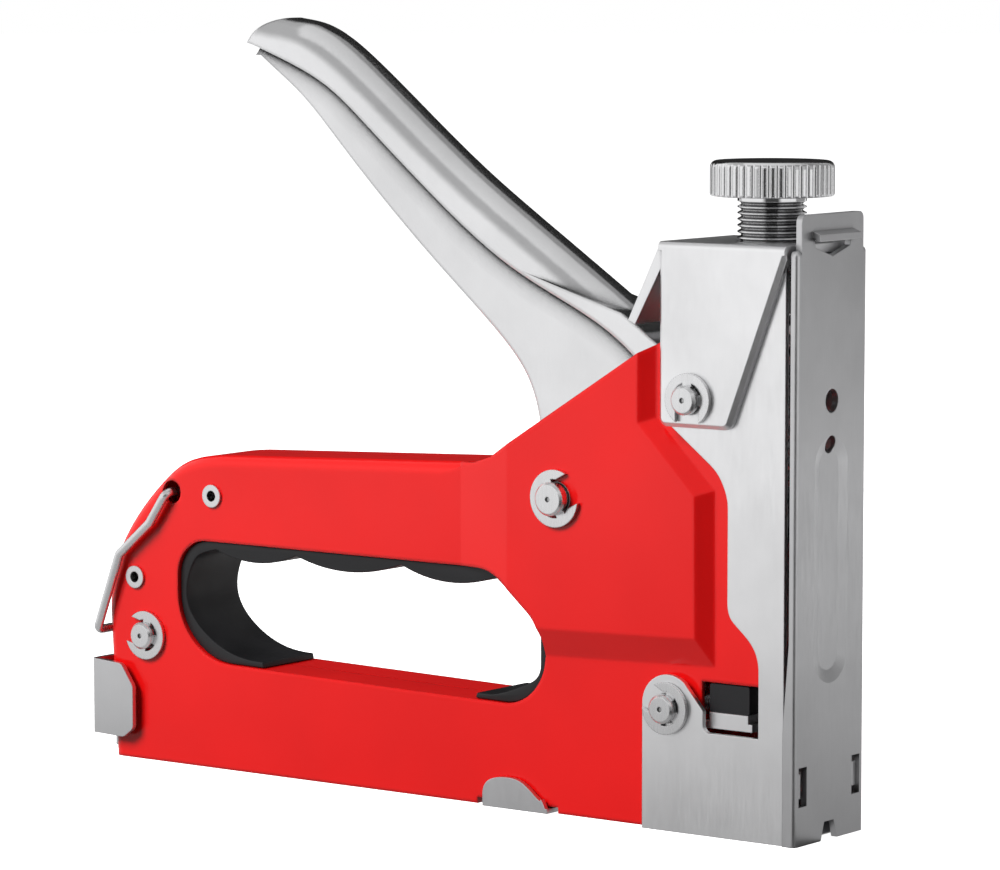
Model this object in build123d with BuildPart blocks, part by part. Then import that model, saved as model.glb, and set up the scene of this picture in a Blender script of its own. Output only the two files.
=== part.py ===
"""Hand staple gun (tacker): pressed steel body, steel nose, squeeze lever and rear-loading magazine.

Millimetres, +Z up. The tool points along +X, its mid-plane is y = 0 and it stands on z = 0.
x = 0 is the front wall of the drive slot, just behind the front plate.
"""

import os
from math import cos, radians, sin

from build123d import *

os.makedirs("parts", exist_ok=True)

# --- Driving dimensions -----------------------------------------------------------------------
SHEET = 1.0  # red body sheet
BODY_Y = 9.8  # half width of the body over its flat sides
PANEL_Y = 12.4  # half width over the raised front panel
NOSE_Y = 12.4  # half width of the steel nose
NOSE_SHEET = 1.2
PLATE_X = 2.0  # outer face of the front plate
PLATE_T = 1.4
PLATE_Y = 12.9
HOOD_Y = 14.4
HOOD_T = 1.9
HOOD_TOP = 120.8
LEVER_Y = 8.4  # half width of the lever's crown
SKIRT_Y = 7.4  # half width of the lever's inset skirt
LEVER_T = 1.2
CROWN_R = 7.6  # rounding of the crown's top
CHANNEL_Y = 7.2  # half width of the magazine channel
FLOOR = 1.1  # underside of the magazine channel
GAP = 0.1

PIVOT = (-57.3, 66.6)
HOOD_PIN = (-22.8, 89.1)
NOSE_PIN = (-29.5, 25.4)
REAR_PIN = (-171.5, 28.0)
BAIL_PIVOT = (-164.0, 60.5)
RIVETS = [(-152.2, 60.4), (-174.6, 40.8)]
DRIVE_X = -12.6  # axis of the drive spring and the adjuster

PIVOT_R = 3.5
PIN_R = 3.0
RUN_FIT = 0.05  # radial clearance of a turning fit
RIVET_R = 2.5

ARM_R = 31.0  # pivot to the lifting tip of the lever
ARM_REST = -27.0  # its angle at rest, degrees
TIP_R = 3.0
LIFT_GAP = 5.2  # height of the lift pin's axis over the tip's centre


def at_y(y):
    """Side-view plane at this y, its local axes X and Z, extruding towards -Y."""
    return Plane.XZ.offset(-y)


# --- Red body halves --------------------------------------------------------------------------
REAR_X = -183.4
TOP_REAR = (-150.0, 69.4)
TOP_FRONT = (-80.0, 72.4)


def folded_edge(inset, front_x):
    """Base, rear and grip top of the body's side outline, inset from the outer skin."""
    base = Line((front_x, inset), (-181.6 + inset, inset))
    rear = Line(base @ 1, (REAR_X + inset, 33.0))
    back = Spline(
        rear @ 1,
        (-179.9 + inset * 0.9, 47.6 - inset * 0.4),
        (-166.4 + inset * 0.6, 63.7 - inset * 0.8),
        (TOP_REAR[0], TOP_REAR[1] - inset),
        tangents=[(0.01, 1.0), (1.0, 0.06)],
    )
    return Line(back @ 1, (TOP_FRONT[0], TOP_FRONT[1] - inset))


def body_outline():
    """Outer side outline: folded edges, the panel's cut top edge and the hidden front edge."""
    with BuildLine() as outline:
        top = folded_edge(0, -22.5)
        Polyline(
            top @ 1,
            (-75.0, 74.0),
            (-37.2, 97.6),
            (-32.5, 100.3),
            (-26.6, 100.3),
            (-26.6, 82.0),
            (-12.0, 70.5),
            (-12.0, 44.0),
            (-5.5, 38.0),
            (-5.5, 31.3),
            (-22.5, 31.3),
            (-22.5, 0),
        )
    make_face(outline.edges())


def cavity_outline():
    """Inside of the folded edges, running out past the open front and top of the panel."""
    with BuildLine() as outline:
        top = folded_edge(SHEET, 10.0)
        Polyline(top @ 1, (-80.0, 130.0), (10.0, 130.0), (10.0, SHEET))
    make_face(outline.edges())


OPENING = [(-162.4, 23.6), (-162.4, 50.3), (-74.4, 50.3), (-61.4, 39.2), (-62.6, 21.8)]
OPENING_R = [15, 8, 12, 9, 11]


def opening_outline(grow):
    """Side outline of the hand opening, grown outwards by this much."""
    corners = Polygon(*OPENING, align=None, mode=Mode.PRIVATE)
    face = corners
    for (x, z), radius in zip(OPENING, OPENING_R):
        corner = face.vertices().sort_by_distance((x, z, 0))[0]
        face = fillet_corner(face, corner, radius)
    add(offset(face, amount=grow, mode=Mode.PRIVATE) if grow else face)


def fillet_corner(face, corner, radius):
    """The flat face with one corner rounded."""
    return Sketch() + face.face().fillet_2d(radius, [corner])


PANEL_TOP = [
    (-70.0, 75.0), (-70.0, 110.0), (-37.0, 110.0), (-37.0, 83.4),
    (-23.0, 69.2), (-22.7, 40.2), (-70.0, 38.8),
]
PANEL_FOOT = [
    (-84.0, 72.5), (-84.0, 112.0), (-33.9, 112.0), (-33.9, 84.6),
    (-19.6, 70.4), (-19.4, 34.4), (-84.0, 32.4),
]


def panel_section(points, y, inset):
    """One flat section of the raised panel, shrunk by the sheet's slant allowance."""
    with BuildSketch(at_y(y)) as section:
        with BuildLine() as line:
            Polyline(*points, close=True)
        make_face(line.edges())
        if inset:
            offset(amount=-inset * 0.6)
    return section.sketch


def panel_block(inset):
    """Raised front panel as a solid, from inside the side wall out to the panel's face."""
    side = BODY_Y - inset
    extrude(to_extrude=panel_section(PANEL_FOOT, -side + 1.2, inset), amount=1.2)
    foot = panel_section(PANEL_FOOT, -side, inset)
    loft(sections=[foot, panel_section(PANEL_TOP, -(PANEL_Y - inset), inset)])


NOTCH = (-79.6, -58.6)  # base clip's notch along x
NOTCH_Z = 1.3
CHANNEL_TOP = 16.2

with BuildPart() as tray:
    with BuildSketch(at_y(0)):
        body_outline()
    extrude(amount=BODY_Y)
    fold = edges().filter_by(lambda e: abs(e.center().Y + BODY_Y) < 0.01)
    fold = fold.filter_by(lambda e: e.center().X < -78 and e.center().Z > 10)
    fillet(fold, 2.6)

with BuildPart() as tray_cavity:
    with BuildSketch(at_y(1)):
        cavity_outline()
    extrude(amount=BODY_Y - SHEET + 1)
    fold = edges().filter_by(lambda e: abs(e.center().Y + BODY_Y - SHEET) < 0.01)
    fold = fold.filter_by(lambda e: e.center().X < -78 and e.center().Z > 10)
    fillet(fold, 1.6)

with BuildPart() as panel_outer:
    panel_block(0)

with BuildPart() as panel_inner:
    panel_block(SHEET)

with BuildPart() as outline_prism:
    with BuildSketch(at_y(1)):
        body_outline()
    extrude(amount=20)

with BuildPart() as envelope:
    add(tray.part)
    add(panel_outer.part)

with BuildPart() as opening_wall:
    with BuildSketch(at_y(-0.05)):
        opening_outline(SHEET)
    extrude(amount=PANEL_Y)
    add(envelope.part, mode=Mode.INTERSECT)

with BuildPart() as left_shell:
    add(envelope.part)
    add(tray_cavity.part, mode=Mode.SUBTRACT)
    add(panel_inner.part, mode=Mode.SUBTRACT)
    add(outline_prism.part, mode=Mode.INTERSECT)
    # hand opening with its inturned wall
    add(opening_wall.part)
    with BuildSketch(at_y(1)):
        opening_outline(0)
    extrude(amount=PANEL_Y + 2, mode=Mode.SUBTRACT)
    # magazine mouth at the back, channel seat and clip notch along the base
    with Locations((-183.0, 0, CHANNEL_TOP / 2)):
        Box(8, 2 * (CHANNEL_Y + 0.2), CHANNEL_TOP + 0.6, mode=Mode.SUBTRACT)
    with Locations((-100.0, 0, 0)):
        Box(174, 2 * (CHANNEL_Y + 0.2), 2.2, mode=Mode.SUBTRACT)
    with Locations(((NOTCH[0] + NOTCH[1]) / 2, 0, 0)):
        Box(NOTCH[1] - NOTCH[0], 40, 2 * NOTCH_Z, mode=Mode.SUBTRACT)
    # pins, bail and rivets
    for point, radius in [
        (PIVOT, PIVOT_R + RUN_FIT),
        (NOSE_PIN, PIN_R + RUN_FIT),
        (REAR_PIN, PIN_R + RUN_FIT),
        (BAIL_PIVOT, 2.6),
        (RIVETS[0], RIVET_R - 0.6 + RUN_FIT),
        (RIVETS[1], RIVET_R - 0.6 + RUN_FIT),
    ]:
        with BuildSketch(at_y(1)):
            with Locations(point):
                Circle(radius)
        extrude(amount=20, mode=Mode.SUBTRACT)
    split(bisect_by=Plane.XZ.offset(0.05), keep=Keep.TOP)

with BuildPart() as right_shell:
    add(mirror(left_shell.part, about=Plane.XZ, mode=Mode.PRIVATE))

left_shell.part.label = "left_shell"
export_step(left_shell.part, "parts/left_shell.step")
right_shell.part.label = "right_shell"
export_step(right_shell.part, "parts/right_shell.step")

# --- Steel nose housing -----------------------------------------------------------------------
FRAME_FRONT = -1.1
FRAME_REAR = -29.6
FRAME_TOP = 118.6
WEB_T = 1.2
SCREW_R = 7.0


def bored(point, radius, reach):
    """Cut a round hole along Y through both sides."""
    with BuildSketch(at_y(reach)) as hole:
        with Locations(point):
            Circle(radius)
    extrude(to_extrude=hole.sketch, amount=2 * reach, mode=Mode.SUBTRACT)


with BuildPart() as nose_frame:
    with BuildSketch(at_y(-(NOSE_Y - NOSE_SHEET))):
        with BuildLine():
            tail = Line((-35.5, 0), (-35.5, 26.4))
            ear = ThreePointArc(tail @ 1, (-30.4, 32.2), (-25.2, 30.9))
            slope = Line(ear @ 1, (-20.6, 25.6))
            well = Polyline(slope @ 1, (-20.6, 21.2), (-7.1, 21.2), (-7.1, 34.5))
            bend = Spline(
                well @ 1,
                (-8.9, 40.2),
                (-12.6, 43.7),
                (-14.7, 48.5),
                tangents=[(0, 1), (0, 1)],
            )
            Polyline(
                bend @ 1,
                (-14.7, 69.4),
                (-17.0, 74.4),
                (FRAME_REAR, 84.0),
                (FRAME_REAR, FRAME_TOP),
                (FRAME_FRONT, FRAME_TOP),
                (FRAME_FRONT, 0),
                (-35.5, 0),
            )
        make_face()
        corners = vertices().filter_by(lambda v: -21 < v.X < -17 and 21 < v.Y < 22)
        fillet(corners, 1.5)
        corners = vertices().filter_by(lambda v: -18 < v.X < -14 and 69 < v.Y < 75)
        fillet(corners, 10.0)
    extrude(amount=NOSE_SHEET)
    mirror(about=Plane.XZ)
    with Locations(((FRAME_REAR + FRAME_FRONT) / 2, 0, FRAME_TOP - WEB_T / 2)):
        Box(FRAME_FRONT - FRAME_REAR, 2 * NOSE_Y, WEB_T)
    ridge = edges().filter_by(Axis.X).filter_by(lambda e: e.center().Z > FRAME_TOP - 0.01)
    fillet(ridge, 1.0)
    with Locations((DRIVE_X, 0, FRAME_TOP)):
        Hole(SCREW_R + 0.6, depth=10)
    # foot strap under the magazine channel, level with the base
    with Locations((-7.0, 0, 0.5)):
        Box(11.0, 2 * NOSE_Y, 1.0)
    # hooks that catch the front plate's slots
    for side in (-1, 1):
        with Locations((-2.4, side * 10.4, 12.0)):
            Box(7.2, 1.8, 5.0)
    bored(HOOD_PIN, PIN_R + RUN_FIT, 20)
    bored(NOSE_PIN, PIN_R + RUN_FIT, 20)
nose_frame.part.label = "nose_frame"
export_step(nose_frame.part, "parts/nose_frame.step")

# --- Front plate ------------------------------------------------------------------------------
SHOULDER_Z = 119.8
TAB_TOP = 126.9
TAB_Y = 11.4
GROOVE = (32.0, 82.0)
GROOVE_DEPTH = 0.7
GROOVE_Y = 3.6
GROOVE_SLOPE = 2.6
SLOT_Y = 9.9


def plate_block(width, low, high):
    """A block of the front plate's thickness."""
    with Locations((PLATE_X - PLATE_T / 2, 0, (low + high) / 2)):
        Box(PLATE_T, width, high - low)


with BuildPart() as front_plate:
    plate_block(2 * PLATE_Y, 0, SHOULDER_Z)
    with BuildSketch(at_y(-(PLATE_Y - NOSE_SHEET))):
        Polygon(
            (PLATE_X, 0), (-1.0, 0), (-1.0, 23), (0.4, 41), (0.4, SHOULDER_Z),
            (PLATE_X, SHOULDER_Z), align=None,
        )
    extrude(amount=NOSE_SHEET)
    with BuildSketch(at_y(PLATE_Y)):
        Polygon(
            (PLATE_X, 0), (-1.0, 0), (-1.0, 23), (0.4, 41), (0.4, SHOULDER_Z),
            (PLATE_X, SHOULDER_Z), align=None,
        )
    extrude(amount=NOSE_SHEET)
    bends = edges().filter_by(Axis.Z).filter_by(lambda e: e.center().X > PLATE_X - 0.01)
    fillet(bends, 0.9)
    shoulders = edges().filter_by(lambda e: e.center().Z > SHOULDER_Z - 0.01)
    shoulders = shoulders.filter_by(lambda e: abs(e.center().Y) > PLATE_Y - 0.01)
    fillet(shoulders, 1.0)
    plate_block(2 * TAB_Y, SHOULDER_Z - 2, TAB_TOP)
    tips = edges().filter_by(Axis.X).filter_by(lambda e: e.center().Z > TAB_TOP - 0.01)
    fillet(tips, 1.5)
    # sight hole
    with Locations(Plane((PLATE_X, 0, 89.2), z_dir=(1, 0, 0))):
        Hole(2.4, depth=6)
    # blade guide groove pressed inwards
    with BuildSketch(Plane((PLATE_X, 0, sum(GROOVE) / 2), x_dir=(0, 1, 0), z_dir=(1, 0, 0))) as mouth:
        SlotOverall(GROOVE[1] - GROOVE[0], 2 * (GROOVE_Y + GROOVE_SLOPE), rotation=90)
    floor_plane = Plane(
        (PLATE_X - GROOVE_DEPTH, 0, sum(GROOVE) / 2), x_dir=(0, 1, 0), z_dir=(1, 0, 0)
    )
    with BuildSketch(floor_plane) as groove_floor:
        SlotOverall(GROOVE[1] - GROOVE[0] - 2 * GROOVE_SLOPE, 2 * GROOVE_Y, rotation=90)
    loft(sections=[mouth.sketch, groove_floor.sketch], mode=Mode.SUBTRACT)
    # its back stands out behind the plate
    back_plane = Plane((PLATE_X - PLATE_T, 0, sum(GROOVE) / 2), x_dir=(0, 1, 0), z_dir=(1, 0, 0))
    with BuildSketch(back_plane) as groove_back:
        SlotOverall(GROOVE[1] - GROOVE[0] - 2 * GROOVE_SLOPE, 2 * GROOVE_Y, rotation=90)
    extrude(to_extrude=groove_back.sketch, amount=-GROOVE_DEPTH)
    with Locations(Plane((PLATE_X, 0, 80.4), z_dir=(1, 0, 0))):
        Hole(1.8, depth=6)
    # hook slots
    for side in (-1, 1):
        with Locations((PLATE_X, side * SLOT_Y, 12.0)):
            Box(8, 3.0, 8.0, mode=Mode.SUBTRACT)
    # staple notch
    with BuildSketch(Plane((PLATE_X + 1, 0, 0), x_dir=(0, 1, 0), z_dir=(1, 0, 0))) as notch:
        Polygon((-3.4, -1), (3.4, -1), (1.8, 3.8), (-1.8, 3.8), align=None)
    extrude(to_extrude=notch.sketch, amount=-4, mode=Mode.SUBTRACT)
    # finger lip, lanced and bent outwards over its own hole
    with BuildSketch(Plane((PLATE_X + 1, 0, 0), x_dir=(0, 1, 0), z_dir=(1, 0, 0))) as lip_hole:
        Polygon((-6.8, 121.8), (-6.4, 120.2), (0, 118.3), (6.4, 120.2), (6.8, 121.8), align=None)
    extrude(to_extrude=lip_hole.sketch, amount=-4, mode=Mode.SUBTRACT)
    with BuildSketch(at_y(7.6)) as lip:
        Polygon(
            (PLATE_X - 0.4, 123.6), (PLATE_X, 123.6), (PLATE_X + 1.8, 122.9), (PLATE_X + 1.8, 121.5),
            (PLATE_X + 0.8, 121.5), (PLATE_X + 0.8, 122.1), (PLATE_X - 0.4, 122.3), align=None,
        )
    extrude(to_extrude=lip.sketch, amount=15.2)
front_plate.part.label = "front_plate"
export_step(front_plate.part, "parts/front_plate.step")

# --- Hood -------------------------------------------------------------------------------------
HOOD_REAR = -30.6
HOOD_FRONT = -0.2

with BuildPart() as hood:
    with BuildSketch(at_y(-(HOOD_Y - HOOD_T))):
        with BuildLine():
            Polyline(
                (HOOD_REAR, HOOD_TOP), (HOOD_FRONT, HOOD_TOP), (HOOD_FRONT, 118.0), (-12.3, 86.4),
                (-13.5, 83.3), (HOOD_REAR, 83.3), close=True,
            )
        make_face()
        fillet(vertices().filter_by(lambda v: v.Y < 84 and v.X < -20), 1.8)
        fillet(vertices().filter_by(lambda v: v.Y < 84 and v.X > -20), 2.2)
    extrude(amount=HOOD_T)
    rolled = edges().filter_by(lambda e: abs(e.center().Y + HOOD_Y) < 0.01 and e.length > 30)
    chamfer(rolled.filter_by(lambda e: -12 < e.center().X < -2), 0.9)
    mirror(about=Plane.XZ)
    with Locations(((HOOD_REAR + HOOD_FRONT) / 2, 0, HOOD_TOP - HOOD_T / 2)):
        Box(HOOD_FRONT - HOOD_REAR, 2 * HOOD_Y, HOOD_T)
    ridge = edges().filter_by(Axis.X).filter_by(lambda e: e.center().Z > HOOD_TOP - 0.01)
    fillet(ridge, 1.2)
    with BuildSketch(at_y(13.0)) as flap:
        Polygon(
            (HOOD_REAR + 1.0, HOOD_TOP - 0.3), (HOOD_REAR - 0.4, HOOD_TOP - 0.3), (-38.9, 104.4),
            (-37.2, 103.6), (HOOD_REAR + 1.0, 117.6), align=None,
        )
    extrude(to_extrude=flap.sketch, amount=26.0)
    with Locations((DRIVE_X, 0, HOOD_TOP)):
        Hole(SCREW_R + RUN_FIT, depth=10)
    bored(HOOD_PIN, PIN_R + RUN_FIT, 20)
hood.part.label = "hood"
export_step(hood.part, "parts/hood.step")

# --- Pins and their clips ---------------------------------------------------------------------
RING_T = 0.9
GROOVE_CUT = 0.6  # depth of the clip grooves in the pins
CENTRE_R = 0.55  # centre mark in each pin end
CENTRE_DEPTH = 0.4


def cross_pin(point, radius, seat_y, reach):
    """A round pin along Y with a clip groove outside each seat face."""
    with BuildSketch(at_y(reach)) as section:
        with Locations(point):
            Circle(radius)
    extrude(to_extrude=section.sketch, amount=2 * reach)
    chamfer(edges().filter_by(lambda e: abs(abs(e.center().Y) - reach) < 0.01), 0.5)
    for end in (reach, -reach + CENTRE_DEPTH):
        with BuildSketch(at_y(end)) as mark:
            with Locations(point):
                Circle(CENTRE_R)
        extrude(to_extrude=mark.sketch, amount=CENTRE_DEPTH, mode=Mode.SUBTRACT)
    for side in (-1, 1):
        start = side * (seat_y + 0.05) if side < 0 else seat_y + RING_T + 0.15
        with BuildSketch(at_y(start)) as collar:
            with Locations(point):
                Circle(radius + 0.1)
                Circle(radius - GROOVE_CUT, mode=Mode.SUBTRACT)
        extrude(to_extrude=collar.sketch, amount=RING_T + 0.1, mode=Mode.SUBTRACT)


def clip_ring(point, radius, pin_radius, seat_y, turn):
    """One snap ring on each end of a pin, its mouth turned this many degrees from +X."""
    for side in (-1, 1):
        start = -(seat_y + 0.1) if side < 0 else seat_y + 0.1 + RING_T
        with BuildSketch(at_y(start)) as ring:
            with Locations(Location((point[0], point[1], 0), (0, 0, turn))):
                Circle(radius)
                Circle(pin_radius + 0.55, mode=Mode.SUBTRACT)
                for lug in (90, 180, 270):
                    with Locations(Location((0, 0, 0), (0, 0, lug))):
                        with Locations((pin_radius - 0.1, 0)):
                            Rectangle(1.6, 2.2)
            with Locations(Location((point[0], point[1], 0), (0, 0, turn))):
                Circle(pin_radius - GROOVE_CUT + 0.03, mode=Mode.SUBTRACT)
                with Locations((radius / 2 + 1, 0)):
                    Rectangle(radius, pin_radius * 1.9, mode=Mode.SUBTRACT)
        extrude(to_extrude=ring.sketch, amount=RING_T)


with BuildPart() as pivot_pin:
    cross_pin(PIVOT, PIVOT_R, PANEL_Y, 15.6)
pivot_pin.part.label = "pivot_pin"
export_step(pivot_pin.part, "parts/pivot_pin.step")

with BuildPart() as hood_pin:
    cross_pin(HOOD_PIN, PIN_R, HOOD_Y, 17.2)
hood_pin.part.label = "hood_pin"
export_step(hood_pin.part, "parts/hood_pin.step")

with BuildPart() as nose_pin:
    cross_pin(NOSE_PIN, PIN_R, NOSE_Y, 15.0)
nose_pin.part.label = "nose_pin"
export_step(nose_pin.part, "parts/nose_pin.step")

with BuildPart() as rear_pin:
    cross_pin(REAR_PIN, PIN_R, BODY_Y, 12.4)
rear_pin.part.label = "rear_pin"
export_step(rear_pin.part, "parts/rear_pin.step")

with BuildPart() as pivot_rings:
    clip_ring(PIVOT, 6.0, PIVOT_R, PANEL_Y, 28)
pivot_rings.part.label = "pivot_rings"
export_step(pivot_rings.part, "parts/pivot_rings.step")

with BuildPart() as clip_rings:
    clip_ring(HOOD_PIN, 5.4, PIN_R, HOOD_Y, -90)
    clip_ring(NOSE_PIN, 5.4, PIN_R, NOSE_Y, 150)
    clip_ring(REAR_PIN, 5.4, PIN_R, BODY_Y, 165)
clip_rings.part.label = "clip_rings"
export_step(clip_rings.part, "parts/clip_rings.step")

with BuildPart() as body_rivets:
    for point in RIVETS:
        with BuildSketch(at_y(BODY_Y + 0.6)) as tube:
            with Locations(point):
                Circle(RIVET_R - 0.6)
        extrude(to_extrude=tube.sketch, amount=2 * BODY_Y + 1.2)
        for start in (BODY_Y + 0.6, -(BODY_Y + 0.05)):
            with BuildSketch(at_y(start)) as flange:
                with Locations(point):
                    Circle(RIVET_R)
            extrude(to_extrude=flange.sketch, amount=0.55)
        bored(point, 1.2, 20)
body_rivets.part.label = "body_rivets"
export_step(body_rivets.part, "parts/body_rivets.step")

# --- Squeeze lever ----------------------------------------------------------------------------
CREST = [
    (-143.0, 159.6), (-140.6, 163.1), (-135.6, 165.0), (-129.6, 164.0), (-122.6, 160.9),
    (-115.2, 155.8), (-100.3, 144.1), (-85.4, 132.8), (-70.7, 122.9), (-56.2, 113.4), (-44.0, 105.3),
]
STEP_LINE = [(-51.5, 103.9), (-61.9, 108.8), (-72.7, 114.2), (-83.7, 121.4), (-98.6, 133.0),
             (-109.8, 142.2), (-121.2, 150.8), (-131.5, 155.6), (-141.4, 159.2)]
UNDERSIDE = [(-140.4, 157.4), (-136.6, 154.6), (-129.7, 149.6), (-118.2, 138.6), (-106.9, 127.4),
             (-91.9, 113.7), (-80.8, 104.2), (-73.4, 97.4), (-68.4, 91.2), (-65.8, 85.0)]
LEVER_FRONT = (-31.6, 97.2)


def crest_line(drop):
    """The lever's top line, lowered by the sheet's thickness where asked."""
    points = [(x + 0.55 * drop if x < -140 else x - 0.55 * drop, z - 0.83 * drop) for x, z in CREST]
    return Spline(*points)


with BuildPart() as half_round:
    # the crown's rolled top, running on past the tip
    with BuildSketch(at_y(LEVER_Y)):
        with BuildLine():
            top = Spline((-162.0, 162.0), (-150.0, 165.0), (-141.5, 165.8), *CREST[2:])
            Polyline(top @ 1, (-10.0, 95.0), (-10.0, 30.0), (-162.0, 30.0), top @ 0)
        make_face()
    extrude(amount=2 * LEVER_Y)
    ridge = edges().filter_by(lambda e: abs(abs(e.center().Y) - LEVER_Y) < 0.01)
    crest_edges = ridge.filter_by(lambda e: e.length > 120).sort_by(Axis.Z)[-2:]
    fillet(crest_edges, CROWN_R)

with BuildPart() as lever_shell:
    # crown: half-round upper part
    with BuildSketch(at_y(LEVER_Y)):
        with BuildLine():
            top = crest_line(0)
            front = Polyline(top @ 1, LEVER_FRONT, (-36.8, 92.6))
            under = Spline(front @ 1, *STEP_LINE)
            Line(under @ 1, top @ 0)
        make_face()
    extrude(amount=2 * LEVER_Y)
    # skirt: inset lower part with the pivot ears and the lifting arms
    with BuildSketch(at_y(SKIRT_Y)):
        with BuildLine():
            top = crest_line(3.2)
            front = Polyline(top @ 1, (-33.4, 95.5), (-31.0, 88.0))
            nose = Spline(front @ 1, (-38.5, 75.0), (-39.0, 66.0), (-28.9, 55.3))
            tip_x = PIVOT[0] + ARM_R * cos(radians(ARM_REST))
            tip_z = PIVOT[1] + ARM_R * sin(radians(ARM_REST))
            tip = ThreePointArc(nose @ 1, (tip_x + TIP_R, tip_z), (tip_x - 1.0, tip_z - 2.83))
            heel = Polyline(tip @ 1, (-44.0, 57.0), (-55.0, 58.0), (-61.5, 58.6), (-66.0, 64.0))
            under = Spline(heel @ 1, *reversed(UNDERSIDE))
            Line(under @ 1, top @ 0)
        make_face()
    extrude(amount=2 * SKIRT_Y)
    add(half_round.part, mode=Mode.INTERSECT)
    # hollow underside
    with BuildSketch(at_y(SKIRT_Y - LEVER_T)):
        with BuildLine():
            top = Spline(*[(x - 0.6 * LEVER_T, z - 4.7) for x, z in CREST[2:]])
            Polyline(
                top @ 1, (-36.0, 99.0), (-20.0, 86.0), (-20.0, 40.0), (-75.0, 40.0),
                (-90.0, 90.0), (-125.0, 130.0), (-139.5, 150.0), (-138.6, 158.0), top @ 0,
            )
        make_face()
    extrude(amount=2 * (SKIRT_Y - LEVER_T), mode=Mode.SUBTRACT)
    bored(PIVOT, PIVOT_R + RUN_FIT, 20)
lever_shell.part.label = "lever_shell"
export_step(lever_shell.part, "parts/lever_shell.step")

with BuildPart() as lever_bush:
    with BuildSketch(at_y(SKIRT_Y - LEVER_T - GAP)) as tube:
        with Locations(PIVOT):
            Circle(5.0)
            Circle(PIVOT_R + RUN_FIT, mode=Mode.SUBTRACT)
    extrude(to_extrude=tube.sketch, amount=2 * (SKIRT_Y - LEVER_T - GAP))
lever_bush.part.label = "lever_bush"
export_step(lever_bush.part, "parts/lever_bush.step")

SPACER_T = PANEL_Y - SHEET - SKIRT_Y - 2 * GAP

with BuildPart() as pivot_spacers:
    for start in (-(SKIRT_Y + GAP), SKIRT_Y + GAP + SPACER_T):
        with BuildSketch(at_y(start)) as ring:
            with Locations(PIVOT):
                Circle(5.5)
                Circle(PIVOT_R + RUN_FIT, mode=Mode.SUBTRACT)
        extrude(to_extrude=ring.sketch, amount=SPACER_T)
pivot_spacers.part.label = "pivot_spacers"
export_step(pivot_spacers.part, "parts/pivot_spacers.step")

# --- Return spring of the lever ---------------------------------------------------------------
RETURN_WIRE = 0.7
RETURN_R = 6.4

with BuildPart() as return_spring:
    coil = Helix(pitch=2.2, height=6.6, radius=RETURN_R, center=(PIVOT[0], -3.3, PIVOT[1]), direction=(0, 1, 0))
    with BuildSketch(Plane(coil @ 0, z_dir=coil % 0)) as wire:
        Circle(RETURN_WIRE)
    sweep(sections=wire.sketch, path=coil)
return_spring.part.label = "return_spring"
export_step(return_spring.part, "parts/return_spring.step")

# --- Striker ----------------------------------------------------------------------------------
ANVIL_Z = (21.9, 25.2)
BUMPER_TOP = 31.0
PLUNGER_FOOT = BUMPER_TOP + GAP
PLUNGER_TOP = 60.6
PLUNGER_Y = 5.8
BLADE_X = (-1.3, -0.3)
BLADE_Y = 5.2
LIFT_PIN = (-27.8, PIVOT[1] + ARM_R * sin(radians(ARM_REST)) + LIFT_GAP)
LIFT_PIN_R = 2.0
DRIVE_WIRE = 1.0
DRIVE_R = 5.8

with BuildPart() as plunger_block:
    with BuildSketch(at_y(PLUNGER_Y)) as side:
        Polygon(
            (BLADE_X[0] - 0.05, PLUNGER_FOOT), (BLADE_X[0] - 0.05, PLUNGER_TOP), (-31.0, PLUNGER_TOP),
            (-31.0, 54.6), (-21.5, 47.0), (-21.5, PLUNGER_FOOT), align=None,
        )
    extrude(to_extrude=side.sketch, amount=2 * PLUNGER_Y)
    bored(LIFT_PIN, LIFT_PIN_R, 20)
    with Locations((DRIVE_X, 0, PLUNGER_TOP)):
        Cylinder(4.3, 11.0, align=(Align.CENTER, Align.CENTER, Align.MIN))
    chamfer(faces().sort_by(Axis.Z)[-1].edges(), 1.2)
    with Locations((BLADE_X[0] - 0.05, 0, 54)):
        Box(1.5, 5.0, 5.0)
plunger_block.part.label = "plunger_block"
export_step(plunger_block.part, "parts/plunger_block.step")

with BuildPart() as striker_blade:
    with Locations(((BLADE_X[0] + BLADE_X[1]) / 2, 0, 30.8)):
        Box(BLADE_X[1] - BLADE_X[0], 2 * BLADE_Y, 60.4)
    with Locations(((BLADE_X[0] + BLADE_X[1]) / 2, 0, 54)):
        Box(4, 5.2, 5.2, mode=Mode.SUBTRACT)
    foot = edges().filter_by(Axis.X).filter_by(lambda e: e.center().Z < 1)
    chamfer(foot, 0.6)
striker_blade.part.label = "striker_blade"
export_step(striker_blade.part, "parts/striker_blade.step")

with BuildPart() as lift_pin:
    with BuildSketch(at_y(SKIRT_Y)) as section:
        with Locations(LIFT_PIN):
            Circle(LIFT_PIN_R)
    extrude(to_extrude=section.sketch, amount=2 * SKIRT_Y)
lift_pin.part.label = "lift_pin"
export_step(lift_pin.part, "parts/lift_pin.step")

SEAT_FOOT = 109.5
SEAT_TOP = 112.0

with BuildPart() as drive_spring:
    low = PLUNGER_TOP + DRIVE_WIRE + 0.05
    coil = Helix(
        pitch=(SEAT_FOOT - PLUNGER_TOP - 2 * DRIVE_WIRE - 0.1) / 7.5,
        height=SEAT_FOOT - PLUNGER_TOP - 2 * DRIVE_WIRE - 0.1,
        radius=DRIVE_R,
        center=(DRIVE_X, 0, low),
    )
    with BuildSketch(Plane(coil @ 0, z_dir=coil % 0)) as wire:
        Circle(DRIVE_WIRE)
    sweep(sections=wire.sketch, path=coil)
drive_spring.part.label = "drive_spring"
export_step(drive_spring.part, "parts/drive_spring.step")

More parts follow.
